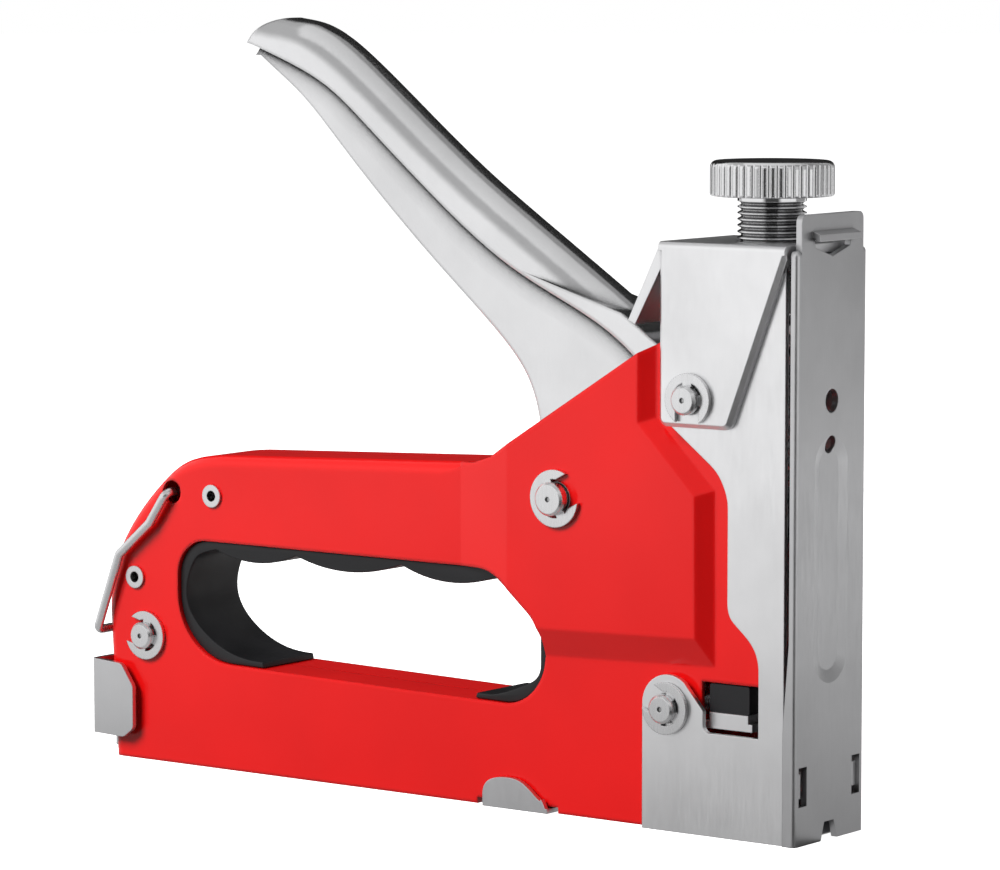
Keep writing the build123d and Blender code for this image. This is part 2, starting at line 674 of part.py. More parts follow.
with BuildPart() as bumper:
    with Locations((-15.9, 0, (ANVIL_Z[1] + BUMPER_TOP) / 2)):
        Box(9.6, 2 * 9.6, BUMPER_TOP - ANVIL_Z[1])
    fillet(edges().filter_by(Axis.Y), 0.5)
bumper.part.label = "bumper"
export_step(bumper.part, "parts/bumper.step")

with BuildPart() as anvil_block:
    with Locations((-15.7, 0, sum(ANVIL_Z) / 2)):
        Box(9.4, 2 * 10.2, ANVIL_Z[1] - ANVIL_Z[0])
    with Locations((-15.7, 0, ANVIL_Z[0] + 0.8)):
        Box(11.4, 2 * 10.2, 1.6)
anvil_block.part.label = "anvil_block"
export_step(anvil_block.part, "parts/anvil_block.step")

# --- Adjuster ---------------------------------------------------------------------------------
THREAD_PITCH = 1.25
THREAD_DEPTH = 0.75
KNOB_FOOT = 129.9
KNOB_TOP = 137.1
KNOB_R = 12.6
KNURLS = 48

with BuildPart() as spring_seat:
    with Locations((DRIVE_X, 0, SEAT_FOOT)):
        Cylinder(7.6, SEAT_TOP - SEAT_FOOT, align=(Align.CENTER, Align.CENTER, Align.MIN))
        Cylinder(4.3, 3.0, align=(Align.CENTER, Align.CENTER, Align.MAX))
spring_seat.part.label = "spring_seat"
export_step(spring_seat.part, "parts/spring_seat.step")

with BuildPart() as adjuster_screw:
    with Locations((DRIVE_X, 0, SEAT_TOP + 0.05)):
        Cylinder(SCREW_R, KNOB_FOOT - SEAT_TOP - 0.05, align=(Align.CENTER, Align.CENTER, Align.MIN))
    with BuildSketch(Plane.XZ) as teeth:
        for i in range(13):
            z = SEAT_TOP + 1.4 + i * THREAD_PITCH
            with Locations((DRIVE_X + SCREW_R, z)):
                Polygon(
                    (0.2, -0.62), (0.2, 0.62), (-THREAD_DEPTH, 0.1), (-THREAD_DEPTH, -0.1), align=None
                )
    revolve(teeth.sketch, axis=Axis((DRIVE_X, 0, 0), (0, 0, 1)), mode=Mode.SUBTRACT)
adjuster_screw.part.label = "adjuster_screw"
export_step(adjuster_screw.part, "parts/adjuster_screw.step")

with BuildPart() as adjuster_knob:
    with Locations((DRIVE_X, 0, KNOB_FOOT)):
        Cylinder(KNOB_R, KNOB_TOP - KNOB_FOOT, align=(Align.CENTER, Align.CENTER, Align.MIN))
    fillet(faces().sort_by(Axis.Z)[-1].edges(), 1.4)
    fillet(faces().sort_by(Axis.Z)[0].edges(), 0.6)
    with Locations((DRIVE_X, 0, 0)):
        with PolarLocations(KNOB_R + 0.25, KNURLS):
            Cylinder(0.55, 400, mode=Mode.SUBTRACT)
adjuster_knob.part.label = "adjuster_knob"
export_step(adjuster_knob.part, "parts/adjuster_knob.step")

# --- Lock bail --------------------------------------------------------------------------------
BAIL_WIRE = 1.0
BAIL_Y = 11.7
BAIL_REAR = (-184.5, 28.3)

with BuildPart() as lock_bail:
    side = [(BAIL_PIVOT[0], BAIL_PIVOT[1]), (-168.9, 53.4), (-177.9, 45.8), BAIL_REAR]
    with BuildLine() as route:
        FilletPolyline(
            (side[0][0], -8.2, side[0][1]),
            *[(x, -BAIL_Y, z) for x, z in side],
            *[(x, BAIL_Y, z) for x, z in reversed(side)],
            (side[0][0], 8.2, side[0][1]),
            radius=1.6,
        )
    with BuildSketch(Plane(route.wire() @ 0, z_dir=route.wire() % 0)) as wire:
        Circle(BAIL_WIRE)
    sweep(sections=wire.sketch, path=route.wire())
lock_bail.part.label = "lock_bail"
export_step(lock_bail.part, "parts/lock_bail.step")

# --- Magazine ---------------------------------------------------------------------------------
CHANNEL_X = (-182.6, -2.1)
RAIL_X = (-184.3, -3.6)
RAIL_Y = 4.4
RAIL_Z = (2.6, 12.2)
ROD_R = 1.5
ROD_Z = 7.6
CAP_REAR = -185.6
CAP_Y = 12.5
CAP_T = 1.2

with BuildPart() as magazine_channel:
    length = CHANNEL_X[1] - CHANNEL_X[0]
    middle = sum(CHANNEL_X) / 2
    with Locations((middle, 0, (FLOOR + 16.0) / 2)):
        Box(length, 2 * CHANNEL_Y, 16.0 - FLOOR)
    with Locations((middle, 0, FLOOR + 0.8 + 10)):
        Box(length + 2, 2 * (CHANNEL_Y - 0.8), 20, mode=Mode.SUBTRACT)
magazine_channel.part.label = "magazine_channel"
export_step(magazine_channel.part, "parts/magazine_channel.step")

with BuildPart() as guide_rail:
    length = RAIL_X[1] - RAIL_X[0]
    middle = sum(RAIL_X) / 2
    with Locations((middle, 0, sum(RAIL_Z) / 2)):
        Box(length, 2 * RAIL_Y, RAIL_Z[1] - RAIL_Z[0])
    with Locations((middle, 0, sum(RAIL_Z) / 2 - 1.0)):
        Box(length + 2, 2 * (RAIL_Y - 0.8), RAIL_Z[1] - RAIL_Z[0], mode=Mode.SUBTRACT)
    with Locations((-90.0, 0, RAIL_Z[1])):
        Box(158.0, 2.6, 6, mode=Mode.SUBTRACT)
guide_rail.part.label = "guide_rail"
export_step(guide_rail.part, "parts/guide_rail.step")

with BuildPart() as feed_rod:
    with Locations(Location((RAIL_X[0], 0, ROD_Z), (0, 90, 0))):
        Cylinder(ROD_R, RAIL_X[1] - RAIL_X[0] - 1.0, align=(Align.CENTER, Align.CENTER, Align.MIN))
feed_rod.part.label = "feed_rod"
export_step(feed_rod.part, "parts/feed_rod.step")

PUSHER_X = (-24.0, -12.0)

with BuildPart() as pusher:
    length = PUSHER_X[1] - PUSHER_X[0]
    middle = sum(PUSHER_X) / 2
    with Locations((middle, 0, 8.6)):
        Box(length, 2 * 5.7, 11.2)
    with Locations((middle, 0, 6.5)):
        Box(length + 2, 2 * (RAIL_Y + 0.3), 2 * (RAIL_Z[1] + 0.3 - 6.5), mode=Mode.SUBTRACT)
    with Locations((middle, 0, 11.0)):
        Box(length, 2.0, 5.0)
    with Locations((middle, 0, ROD_Z + 0.3)):
        Box(length, 5.6, 5.6)
    with BuildSketch(Plane.YZ.offset(-60)) as bore:
        with Locations((0, ROD_Z)):
            Circle(ROD_R + 0.08)
    extrude(to_extrude=bore.sketch, amount=60, mode=Mode.SUBTRACT)
pusher.part.label = "pusher"
export_step(pusher.part, "parts/pusher.step")

with BuildPart() as pusher_spring:
    length = PUSHER_X[0] - RAIL_X[0] - 1.2
    coil = Helix(pitch=length / 28, height=length, radius=2.4, center=(RAIL_X[0] + 0.6, 0, ROD_Z), direction=(1, 0, 0))
    with BuildSketch(Plane(coil @ 0, z_dir=coil % 0)) as wire:
        Circle(0.4)
    sweep(sections=wire.sketch, path=coil)
pusher_spring.part.label = "pusher_spring"
export_step(pusher_spring.part, "parts/pusher_spring.step")

with BuildPart() as latch_cap:
    with BuildSketch(at_y(-(CAP_Y - CAP_T))) as ear:
        with BuildLine() as line:
            Polyline(
                (CAP_REAR, 5.2), (-176.4, 4.9), (-173.6, 7.0), (-173.6, 16.5), (-177.0, 21.4),
                (CAP_REAR, 22.0), close=True,
            )
        make_face(line.edges())
        fillet(vertices().filter_by(lambda v: v.X > -180), 1.8)
    extrude(to_extrude=ear.sketch, amount=CAP_T)
    mirror(about=Plane.XZ)
    with Locations((CAP_REAR + CAP_T / 2, 0, 13.6)):
        Box(CAP_T, 2 * CAP_Y, 16.8)
    fillet(edges().filter_by(Axis.Z).filter_by(lambda e: e.center().X < CAP_REAR + 0.01), 1.1)
    # foot that carries the rail
    with Locations((CAP_REAR + CAP_T / 2, 0, 4.0)):
        Box(CAP_T, 2 * RAIL_Y, 5.6)
latch_cap.part.label = "latch_cap"
export_step(latch_cap.part, "parts/latch_cap.step")

# --- Base clip --------------------------------------------------------------------------------
CLIP_Y = 11.6
CLIP_T = 1.2

with BuildPart() as base_clip:
    with BuildSketch(at_y(-(CLIP_Y - CLIP_T))) as wing:
        with BuildLine() as line:
            rise = Line((-77.0, 0), (-77.0, 2.8))
            dome = Spline(
                rise @ 1, (-75.6, 5.5), (-71.4, 6.6), (-65.6, 5.2), (-62.0, 2.6), (-60.2, 0),
                tangents=[(0.1, 1), (0.5, -1)],
            )
            Line(dome @ 1, rise @ 0)
        make_face(line.edges())
    extrude(to_extrude=wing.sketch, amount=CLIP_T)
    mirror(about=Plane.XZ)
    with Locations((-68.6, 0, 0.5)):
        Box(16.8, 2 * CLIP_Y, 1.0)
base_clip.part.label = "base_clip"
export_step(base_clip.part, "parts/base_clip.step")

# --- Rubber lining of the hand opening --------------------------------------------------------
GRIP_Y = 8.9

with BuildPart() as grip_insert:
    with BuildSketch(at_y(GRIP_Y)) as lining:
        opening_outline(-GAP)
    extrude(to_extrude=lining.sketch, amount=2 * GRIP_Y)
    with BuildSketch(at_y(GRIP_Y + 1)) as hollow:
        with BuildLine() as line:
            left = Spline(
                (-139.0, 24.6), (-146.5, 25.4), (-155.2, 29.6), (-160.6, 37.5), (-158.6, 45.2), (-152.0, 48.4),
                tangents=[(-1, 0.0), (1, 0.2)],
            )
            wave_a = ThreePointArc(left @ 1, (-140.5, 46.3), (-129.5, 48.7))
            wave_b = ThreePointArc(wave_a @ 1, (-115.0, 46.3), (-100.7, 49.0))
            wave_c = ThreePointArc(wave_b @ 1, (-87.0, 46.2), (-75.5, 48.3))
            right = Polyline(wave_c @ 1, (-63.9, 38.6), (-63.9, 31.0))
            corner = Spline(right @ 1, (-67.8, 26.2), (-75.5, 23.6), (-80.5, 23.4),
                            tangents=[(0, -1), (-1, 0)])
            Polyline(corner @ 1, (-81.5, 20.0), (-138.0, 20.0), (-139.0, 24.6))
        make_face(line.edges())
    extrude(to_extrude=hollow.sketch, amount=2 * GRIP_Y + 2, mode=Mode.SUBTRACT)
grip_insert.part.label = "grip_insert"
export_step(grip_insert.part, "parts/grip_insert.step")
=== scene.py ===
"""Hand staple gun: finishes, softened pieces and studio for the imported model."""

import math

import bpy
from bpy.props import FloatProperty, FloatVectorProperty, IntProperty, PointerProperty
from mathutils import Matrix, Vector


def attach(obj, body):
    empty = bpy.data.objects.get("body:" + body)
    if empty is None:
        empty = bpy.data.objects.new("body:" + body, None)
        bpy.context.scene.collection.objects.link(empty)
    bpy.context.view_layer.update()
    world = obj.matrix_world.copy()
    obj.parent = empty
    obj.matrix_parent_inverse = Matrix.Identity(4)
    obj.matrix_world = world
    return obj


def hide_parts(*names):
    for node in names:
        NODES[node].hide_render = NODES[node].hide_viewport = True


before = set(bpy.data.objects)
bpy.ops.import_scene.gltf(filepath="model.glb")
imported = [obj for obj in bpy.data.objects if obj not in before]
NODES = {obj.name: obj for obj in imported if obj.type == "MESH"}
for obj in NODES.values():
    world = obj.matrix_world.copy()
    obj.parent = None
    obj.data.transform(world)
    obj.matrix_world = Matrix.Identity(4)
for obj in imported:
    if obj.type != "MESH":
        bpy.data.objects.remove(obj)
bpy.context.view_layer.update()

bl_info = {
    "name": "Staple Gun Finishes",
    "version": (1, 0, 0),
    "blender": (4, 5, 0),
    "location": "View3D > Sidebar > Staple Gun",
    "description": "Finishes the staple gun's pieces and sets up its studio",
    "category": "Object",
}

MM = 0.001


# --- Settings ---------------------------------------------------------------------------------
def colour(name, description, default):
    """A linear colour property."""
    return FloatVectorProperty(
        name=name, description=description, subtype="COLOR", size=3, min=0.0, max=1.0, default=default
    )


def fraction(name, description, default):
    """A property from 0 to 1."""
    return FloatProperty(
        name=name, description=description, subtype="FACTOR", min=0.0, max=1.0, default=default
    )


def length(name, description, default):
    """A length property in metres."""
    return FloatProperty(
        name=name, description=description, subtype="DISTANCE", unit="LENGTH", min=0.0, default=default
    )


def watts(name, description, default):
    """A light's power in watts."""
    return FloatProperty(name=name, description=description, subtype="POWER", unit="POWER", default=default)


class EnamelSettings(bpy.types.PropertyGroup):
    """Red stoved enamel of the body halves."""

    red: colour("Red", "Enamel colour", (0.85, 0.006, 0.006))
    deep_red: colour("Deep red", "Enamel colour where it lies thicker", (0.78, 0.005, 0.005))
    roughness: fraction("Roughness", "Roughness of the enamel under its gloss", 0.30)
    coat_roughness: fraction("Coat roughness", "Roughness of the gloss itself", 0.04)
    peel_size: length("Peel size", "Size of the orange-peel waves", 2.4 * MM)
    peel_depth: fraction("Peel depth", "Strength of the orange-peel waves", 0.05)
    edge: length("Edge radius", "Rounding of the pressed panel's folds", 1.2 * MM)


class SteelSettings(bpy.types.PropertyGroup):
    """Plated sheet, turned pins and hardened inner parts."""

    sheet: colour("Sheet", "Colour of the plated sheet", (0.88, 0.88, 0.89))
    # Painted shade: the front plate is the same plated steel, tinted darker for its face towards the dim
    # camera side.
    plate: colour("Front plate", "Colour of the front plate", (0.62, 0.62, 0.63))
    clips: colour("Clips", "Colour of the latch cap and the base clip", (0.68, 0.68, 0.69))
    pin: colour("Pins", "Colour of the turned pins and snap rings", (0.76, 0.76, 0.77))
    dark: colour("Oiled steel", "Colour of hardened inner parts", (0.20, 0.20, 0.21))
    roughness: fraction("Roughness", "Roughness of the plated sheet", 0.34)
    grain_depth: fraction("Grain depth", "Strength of the rolling grain", 0.08)
    edge: length("Edge radius", "Rounding of the pressed edges", 0.3 * MM)


class AdjusterSettings(bpy.types.PropertyGroup):
    """Polished adjuster knob and screw, and the lever's chrome."""

    chrome: colour("Chrome", "Colour of the polished knob and screw", (0.78, 0.78, 0.79))
    roughness: fraction("Roughness", "Roughness of the polish", 0.09)


class RubberSettings(bpy.types.PropertyGroup):
    """Black rubber of the grip lining and the bumper."""

    black: colour("Black", "Rubber colour", (0.008, 0.008, 0.009))
    roughness: fraction("Roughness", "Roughness of the moulded skin", 0.46)
    round_over: length("Round-over", "Rounding of the lining's edges", 0.9 * MM)
    rounds: IntProperty(name="Segments", description="Segments of the round-over", min=1, max=8, default=4)


class StudioSettings(bpy.types.PropertyGroup):
    """Pale floor, surround and soft lights."""

    floor: colour("Floor", "Colour of the floor", (0.93, 0.93, 0.93))
    glow: FloatProperty(name="Floor glow", description="Light of the floor's own", min=0.0, default=1.0)
    bounce: fraction("Floor bounce", "Light the floor throws on dull surfaces", 0.10)
    # Painted shadow in reflections: the floor's mirrored glow, dim close by and bright farther off.
    near: fraction("Near floor", "Brightness of the floor close by, as polished metal mirrors it", 0.34)
    far: fraction("Far floor", "Brightness of the floor farther off, as polished metal mirrors it", 0.95)
    fade_from: length("Fade from", "Distance where the mirrored floor starts to brighten", 0.04)
    fade_to: length("Fade to", "Distance where the mirrored floor is at its brightest", 0.60)
    sky: FloatProperty(name="Surround", description="Brightness of the pale surround", min=0.0, default=1.0)
    ambient: fraction("Ambient", "Light the surround throws on dull surfaces", 0.10)
    camera_side: fraction("Camera side", "Brightness of the dim room behind the camera", 0.06)
    key: watts("Key", "Power of the key light", 20.0)
    top: watts("Top", "Power of the overhead light", 1.2)
    rim: watts("Rim", "Power of the rim light", 7.0)


class StapleGunSettings(bpy.types.PropertyGroup):
    """All settings of the staple gun."""

    enamel: PointerProperty(type=EnamelSettings)
    steel: PointerProperty(type=SteelSettings)
    adjuster: PointerProperty(type=AdjusterSettings)
    rubber: PointerProperty(type=RubberSettings)
    studio: PointerProperty(type=StudioSettings)


# --- Shared shader groups ---------------------------------------------------------------------
PAINTED_SHADE_SAMPLES = 6
EDGE_SAMPLES = 4


def new_group(name, inputs, outputs):
    """An empty shader group with float, colour and vector sockets."""
    group = bpy.data.node_groups.new(name, "ShaderNodeTree")
    for label, kind, default in inputs:
        socket = group.interface.new_socket(label, in_out="INPUT", socket_type=kind)
        socket.default_value = default
    for label, kind in outputs:
        group.interface.new_socket(label, in_out="OUTPUT", socket_type=kind)
    return group, group.nodes.new("NodeGroupInput"), group.nodes.new("NodeGroupOutput")


def feed(tree, value, socket):
    """Set a socket to this value, or link it when the value is a socket too."""
    if isinstance(value, bpy.types.NodeSocket):
        tree.links.new(value, socket)
    else:
        socket.default_value = value


def noise(tree, vector, scale, detail=3.0, roughness=0.55):
    """A noise texture read at this vector."""
    node = tree.nodes.new("ShaderNodeTexNoise")
    feed(tree, scale, node.inputs["Scale"])
    node.inputs["Detail"].default_value = detail
    node.inputs["Roughness"].default_value = roughness
    tree.links.new(vector, node.inputs["Vector"])
    return node.outputs["Fac"]


def remap(tree, value, span=(0.0, 1.0), to=(0.0, 1.0)):
    """The value mapped from one span to another; ends may be sockets."""
    node = tree.nodes.new("ShaderNodeMapRange")
    tree.links.new(value, node.inputs["Value"])
    for label, end in zip(("From Min", "From Max", "To Min", "To Max"), (*span, *to)):
        feed(tree, end, node.inputs[label])
    return node.outputs["Result"]


def maths(tree, operation, first, second):
    """Two values added, multiplied or otherwise combined."""
    node = tree.nodes.new("ShaderNodeMath")
    node.operation = operation
    tree.links.new(first, node.inputs[0])
    tree.links.new(second, node.inputs[1])
    return node.outputs[0]


def mix_colour(tree, mask, first, second):
    """First colour where the mask is 0, second where it is 1."""
    node = tree.nodes.new("ShaderNodeMix")
    node.data_type = "RGBA"
    tree.links.new(mask, node.inputs["Factor"])
    tree.links.new(first, node.inputs["A"])
    tree.links.new(second, node.inputs["B"])
    return node.outputs["Result"]


def stretched(tree, stretch=(1, 1, 1)):
    """Object coordinates, scaled along each axis."""
    where = tree.nodes.new("ShaderNodeTexCoord")
    mapping = tree.nodes.new("ShaderNodeMapping")
    mapping.inputs["Scale"].default_value = stretch
    tree.links.new(where.outputs["Object"], mapping.inputs["Vector"])
    return mapping.outputs["Vector"]


def bump(tree, height, strength, distance, normal=None):
    """A bump normal from a height."""
    node = tree.nodes.new("ShaderNodeBump")
    node.inputs["Distance"].default_value = distance
    feed(tree, strength, node.inputs["Strength"])
    tree.links.new(height, node.inputs["Height"])
    if normal is not None:
        tree.links.new(normal, node.inputs["Normal"])
    return node.outputs["Normal"]


def painted_shade_mask(tree, reach, low, high):
    """A mask for painted shade, falling from 1 to 0 in each narrow inner corner."""
    node = tree.nodes.new("ShaderNodeAmbientOcclusion")
    node.samples = PAINTED_SHADE_SAMPLES
    node.only_local = True
    feed(tree, reach, node.inputs["Distance"])
    return remap(tree, node.outputs["AO"], span=(low, high))


def rounded_normal(tree, radius):
    """The surface normal with sharp edges rounded off."""
    node = tree.nodes.new("ShaderNodeBevel")
    node.samples = EDGE_SAMPLES
    tree.links.new(radius, node.inputs["Radius"])
    return node.outputs["Normal"]


def shaded(tree, tint, brightness):
    """The colour, made brighter or darker by a factor."""
    node = tree.nodes.new("ShaderNodeHueSaturation")
    tree.links.new(tint, node.inputs["Color"])
    tree.links.new(brightness, node.inputs["Value"])
    return node.outputs["Color"]


def darkened(tree, tint, mask, depth):
    """The colour, darkened with painted shade where the mask is 0."""
    return shaded(tree, tint, remap(tree, mask, to=(depth, 1.0)))


def enamel_group():
    """Orange peel, thickness tint, painted shade in each inner corner and faint handling haze of a sprayed
    enamel.
    """
    group, given, out = new_group(
        "Sprayed enamel",
        [
            ("Color", "NodeSocketColor", (1, 0, 0, 1)),
            ("Deep Color", "NodeSocketColor", (1, 0, 0, 1)),
            ("Roughness", "NodeSocketFloat", 0.3),
            ("Peel Scale", "NodeSocketFloat", 400.0),
            ("Peel Depth", "NodeSocketFloat", 0.05),
            ("Edge Radius", "NodeSocketFloat", 0.5 * MM),
        ],
        [("Color", "NodeSocketColor"), ("Roughness", "NodeSocketFloat"), ("Normal", "NodeSocketVector")],
    )
    place = stretched(group)
    thick = remap(group, noise(group, place, scale=28.0, detail=2.0), span=(0.35, 0.65))
    tint = mix_colour(group, thick, given.outputs["Color"], given.outputs["Deep Color"])
    # Painted shade: the red is darkened to about a third in each narrow inner corner.
    corner_shade = painted_shade_mask(group, reach=2.5 * MM, low=0.35, high=0.85)
    group.links.new(darkened(group, tint, corner_shade, depth=0.35), out.inputs["Color"])
    haze = remap(group, noise(group, place, scale=60.0, detail=5.0), span=(0.4, 0.8), to=(0.0, 0.08))
    group.links.new(maths(group, "ADD", given.outputs["Roughness"], haze), out.inputs["Roughness"])
    peel = noise(group, place, given.outputs["Peel Scale"], detail=1.0, roughness=0.5)
    edge = rounded_normal(group, given.outputs["Edge Radius"])
    skin = bump(group, peel, given.outputs["Peel Depth"], distance=0.4 * MM, normal=edge)
    group.links.new(skin, out.inputs["Normal"])
    return group


def metal_group():
    """Rolling grain, fine speckle, a cloudy plating tone and painted shade in each inner corner."""
    group, given, out = new_group(
        "Plated metal",
        [
            ("Color", "NodeSocketColor", (0.7, 0.7, 0.7, 1)),
            ("Roughness", "NodeSocketFloat", 0.3),
            ("Grain Depth", "NodeSocketFloat", 0.1),
            ("Edge Radius", "NodeSocketFloat", 0.3 * MM),
            ("Crevice Depth", "NodeSocketFloat", 0.25),
            ("Crevice Reach", "NodeSocketFloat", 1.6 * MM),
            ("Crevice Low", "NodeSocketFloat", 0.45),
            ("Crevice High", "NodeSocketFloat", 0.85),
        ],
        [("Color", "NodeSocketColor"), ("Roughness", "NodeSocketFloat"), ("Normal", "NodeSocketVector")],
    )
    cloud = noise(group, stretched(group), scale=45.0, detail=4.0)
    grain = noise(group, stretched(group, (60, 60, 4)), scale=45.0)
    plated = shaded(group, given.outputs["Color"], remap(group, cloud, span=(0.3, 0.7), to=(0.93, 1.05)))
    # Painted shade: the metal is darkened by the given depth in each narrow inner corner.
    corner_shade = painted_shade_mask(group, *(given.outputs["Crevice " + end] for end in ("Reach", "Low", "High")))
    group.links.new(darkened(group, plated, corner_shade, given.outputs["Crevice Depth"]), out.inputs["Color"])
    vary = remap(group, grain, span=(0.3, 0.7), to=(-0.05, 0.07))
    group.links.new(maths(group, "ADD", given.outputs["Roughness"], vary), out.inputs["Roughness"])
    edge = rounded_normal(group, given.outputs["Edge Radius"])
    skin = bump(group, grain, given.outputs["Grain Depth"], distance=0.05 * MM, normal=edge)
    group.links.new(skin, out.inputs["Normal"])
    return group


def rubber_group():
    """Moulded rubber skin with fine pebbling and rubbed patches."""
    group, given, out = new_group(
        "Moulded rubber",
        [("Color", "NodeSocketColor", (0.02, 0.02, 0.02, 1)), ("Roughness", "NodeSocketFloat", 0.5)],
        [("Color", "NodeSocketColor"), ("Roughness", "NodeSocketFloat"), ("Normal", "NodeSocketVector")],
    )
    place = stretched(group)
    rubbed = noise(group, place, scale=90.0, detail=4.0)
    worn = shaded(group, given.outputs["Color"], remap(group, rubbed, span=(0.3, 0.7), to=(0.8, 1.5)))
    group.links.new(worn, out.inputs["Color"])
    vary = remap(group, rubbed, span=(0.3, 0.7), to=(-0.06, 0.1))
    group.links.new(maths(group, "ADD", given.outputs["Roughness"], vary), out.inputs["Roughness"])
    pebbles = noise(group, place, scale=2600.0, detail=2.0)
    group.links.new(bump(group, pebbles, strength=0.12, distance=0.1 * MM), out.inputs["Normal"])
    return group


def shared_group(name, build):
    """The named shader group, built on first use."""
    return bpy.data.node_groups.get(name) or build()


def finish_material(name, group, values, shader_values):
    """A Principled material fed by one shader group."""
    material = bpy.data.materials.new(name)
    material.use_nodes = True
    tree = material.node_tree
    shader = tree.nodes["Principled BSDF"]
    effect = tree.nodes.new("ShaderNodeGroup")
    effect.node_tree = group
    for label, value in values.items():
        effect.inputs[label].default_value = value
    tree.links.new(effect.outputs["Color"], shader.inputs["Base Color"])
    tree.links.new(effect.outputs["Roughness"], shader.inputs["Roughness"])
    tree.links.new(effect.outputs["Normal"], shader.inputs["Normal"])
    for label, value in shader_values.items():
        shader.inputs[label].default_value = value
    return material


def metal(
    name, tint, roughness, grain_depth, edge=0.3 * MM, painted_shade_depth=0.25, reach=1.6 * MM, span=(0.45, 0.85)
):
    """A bare metal finish, darkened by painted shade in any corner where the open sky falls within the
    span.
    """
    return finish_material(
        name,
        shared_group("Plated metal", metal_group),
        {
            "Color": (*tint, 1),
            "Roughness": roughness,
            "Grain Depth": grain_depth,
            "Edge Radius": edge,
            "Crevice Depth": painted_shade_depth,
            "Crevice Reach": reach,
            "Crevice Low": span[0],
            "Crevice High": span[1],
        },
        {"Metallic": 1.0},
    )


def coat(material, *names):
    """Give CAD nodes this material."""
    for name in names:
        mesh = NODES[name].data
        mesh.materials.clear()
        mesh.materials.append(material)


# --- Softened copies --------------------------------------------------------------------------
MERGE_WITHIN = 0.002 * MM
FLAT_WITHIN = math.radians(0.6)
SHARP_FROM = math.radians(35)
SMOOTH_UNDER = math.radians(30)


def softened_copy(node, body, material, radius, segments):
    """A copy of a CAD node with its sharp edges rounded over, standing for it."""
    piece = NODES[node].copy()
    piece.data = NODES[node].data.copy()
    piece.name = node + "_soft"
    piece.parent = None
    bpy.context.scene.collection.objects.link(piece)
    bpy.ops.object.select_all(action="DESELECT")
    piece.select_set(True)
    bpy.context.view_layer.objects.active = piece
    for key in list(piece.keys()):
        del piece[key]
    if piece.data.has_custom_normals:
        bpy.ops.mesh.customdata_custom_splitnormals_clear()
    bpy.ops.object.mode_set(mode="EDIT")
    bpy.ops.mesh.select_all(action="SELECT")
    bpy.ops.mesh.remove_doubles(threshold=MERGE_WITHIN)
    bpy.ops.mesh.dissolve_limited(angle_limit=FLAT_WITHIN)
    bpy.ops.object.mode_set(mode="OBJECT")
    rounded = piece.modifiers.new("Round-over", "BEVEL")
    rounded.width = radius
    rounded.segments = segments
    rounded.limit_method = "ANGLE"
    rounded.angle_limit = SHARP_FROM
    rounded.harden_normals = False
    bpy.ops.object.modifier_apply(modifier=rounded.name)
    bpy.ops.object.shade_smooth_by_angle(angle=SMOOTH_UNDER)
    piece.data.materials.clear()
    piece.data.materials.append(material)
    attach(piece, body)
    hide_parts(node)
    return piece


# --- Operators --------------------------------------------------------------------------------
class STAPLEGUN_OT_enamel(bpy.types.Operator):
    """Spray the body halves"""

    bl_idname = "staplegun.enamel"
    bl_label = "Enamel"

    def execute(self, context):
        look = context.scene.staple_gun.enamel
        red = finish_material(
            "Red enamel",
            shared_group("Sprayed enamel", enamel_group),
            {
                "Color": (*look.red, 1),
                "Deep Color": (*look.deep_red, 1),
                "Roughness": look.roughness,
                "Peel Scale": 1 / look.peel_size,
                "Peel Depth": look.peel_depth,
                "Edge Radius": look.edge,
            },
            {"Coat Weight": 0.5, "Coat Roughness": look.coat_roughness, "Specular IOR Level": 0.2},
        )
        coat(red, "left_shell", "right_shell")
        return {"FINISHED"}


class STAPLEGUN_OT_steelwork(bpy.types.Operator):
    """Plate the nose, hood, clips and magazine"""

    bl_idname = "staplegun.steelwork"
    bl_label = "Steelwork"

    def execute(self, context):
        look = context.scene.staple_gun.steel
        sheet = metal("Plated sheet", look.sheet, look.roughness, look.grain_depth, look.edge)
        coat(sheet, "nose_frame", "hood", "magazine_channel", "guide_rail", "anvil_block")
        clips = metal("Plated clips", look.clips, look.roughness, look.grain_depth, look.edge)
        coat(clips, "latch_cap", "base_clip")
        # Painted shade: the same plated finish, tinted darker for the front plate's face towards the dim
        # camera side.
        plate = metal("Plated front with painted shade", look.plate, look.roughness, look.grain_depth, look.edge)
        coat(plate, "front_plate")
        return {"FINISHED"}


class STAPLEGUN_OT_turned_parts(bpy.types.Operator):
    """Finish the pins, snap rings, rivets and the bail"""

    bl_idname = "staplegun.turned_parts"
    bl_label = "Turned parts"

    def execute(self, context):
        look = context.scene.staple_gun.steel
        turned = metal("Turned steel", look.pin, roughness=0.26, grain_depth=0.05)
        coat(
            turned, "pivot_pin", "hood_pin", "nose_pin", "rear_pin", "pivot_rings", "clip_rings",
            "body_rivets", "lock_bail", "feed_rod", "lever_bush", "pivot_spacers", "lift_pin",
        )
        return {"FINISHED"}


class STAPLEGUN_OT_inner_parts(bpy.types.Operator):
    """Finish the striker, pusher and springs"""

    bl_idname = "staplegun.inner_parts"
    bl_label = "Inner parts"

    def execute(self, context):
        look = context.scene.staple_gun.steel
        oiled = metal("Oiled steel", look.dark, roughness=0.38, grain_depth=0.06)
        coat(
            oiled, "plunger_block", "striker_blade", "pusher", "spring_seat", "drive_spring",
            "return_spring", "pusher_spring",
        )
        return {"FINISHED"}


class STAPLEGUN_OT_adjuster(bpy.types.Operator):
    """Polish the adjuster's knob and screw"""

    bl_idname = "staplegun.adjuster"
    bl_label = "Adjuster"

    def execute(self, context):
        look = context.scene.staple_gun.adjuster
        chrome = metal("Bright chrome", look.chrome, look.roughness, grain_depth=0.02)
        coat(chrome, "adjuster_screw", "adjuster_knob")
        return {"FINISHED"}


